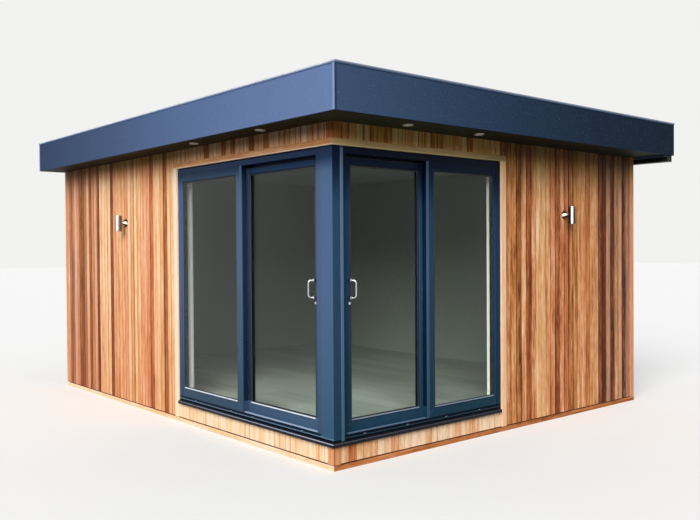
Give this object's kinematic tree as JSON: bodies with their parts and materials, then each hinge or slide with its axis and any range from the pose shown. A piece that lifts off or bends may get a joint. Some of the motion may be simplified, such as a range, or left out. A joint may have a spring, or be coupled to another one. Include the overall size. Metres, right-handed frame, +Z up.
{
  "type": "garden office pod",
  "caption": "Flat-roofed timber garden room with cedar boards, a deep dark fascia, a glazed corner, and a sliding glass door on each side of a corner post.",
  "frame": {"origin": "on the ground, under the middle of the floor frame's underside", "axes": "+Z up; -Y is the front wall's outward side; the left wall faces -X; the glazed corner is at -X, -Y"},
  "size_m": [4.179, 5.071, 2.666],
  "materials": {
    "cedar": "oiled cedar boards of mixed tone",
    "cedar_trim": "oiled cedar battens",
    "soffit_timber": "brown timber boards",
    "timber_frame": "sawn softwood and boards",
    "floor_boards": "grey-green satin floor boards",
    "lined_wall": "matt grey-green paint inside",
    "ceiling_board": "matt off-white paint",
    "frame_metal": "satin dark blue-grey powder coat on aluminium, white on the room side",
    "cill_metal": "satin near-black powder coat",
    "fascia_metal": "satin dark blue-grey folded sheet",
    "edge_metal": "satin grey folded trim",
    "membrane": "matt black roofing rubber",
    "gutter_plastic": "satin black",
    "glass": "clear double glazing",
    "handle_chrome": "polished",
    "lamp_steel": "brushed stainless steel",
    "downlight_metal": "satin pale grey"
  },
  "bodies": {
    "building": {"back_cladding": "cedar", "back_wall": "lined_wall", "base_strips": "cedar", "ceiling": "ceiling_board", "corner_post": "frame_metal", "corner_trims": "cedar_trim", "door_cills": "cill_metal", "door_head_trims": "cedar_trim", "door_headers": "lined_wall", "door_side_trims": "cedar_trim", "downpipe": "gutter_plastic", "fascia_corner_strips": "edge_metal", "fascia_front_back": "fascia_metal", "fascia_sides": "fascia_metal", "fixed_glass": "glass", "fixed_sashes": "frame_metal", "floor_deck": "floor_boards", "floor_frame": "timber_frame", "front_cladding": "cedar", "front_frame_jambs": "frame_metal", "front_frame_rails": "frame_metal", "front_soffit": "soffit_timber", "front_wall": "lined_wall", "gutter": "gutter_plastic", "header_cladding": "cedar", "left_cladding": "cedar", "left_frame_jambs": "frame_metal", "left_frame_rails": "frame_metal", "left_soffit": "soffit_timber", "left_wall": "lined_wall", "plinth_cladding": "cedar", "right_cladding": "cedar", "right_wall": "lined_wall", "roof_edge_trim": "edge_metal", "roof_membrane": "membrane", "roof_panel": "timber_frame", "soffit_lights": "downlight_metal", "wall_lights": "lamp_steel"},
    "left_door": {"left_sliding_sash": "frame_metal", "left_sliding_glass": "glass", "left_handle": "handle_chrome"},
    "front_door": {"front_sliding_sash": "frame_metal", "front_sliding_glass": "glass", "front_handle": "handle_chrome"}
  },
  "joints": [
    {"name": "left_door_slide", "type": "slide", "parent": "building", "child": "left_door", "axis": [0, 1, 0], "range_m": [0, 0.83]},
    {"name": "front_door_slide", "type": "slide", "parent": "building", "child": "front_door", "axis": [1, 0, 0], "range_m": [0, 0.68]}
  ]
}
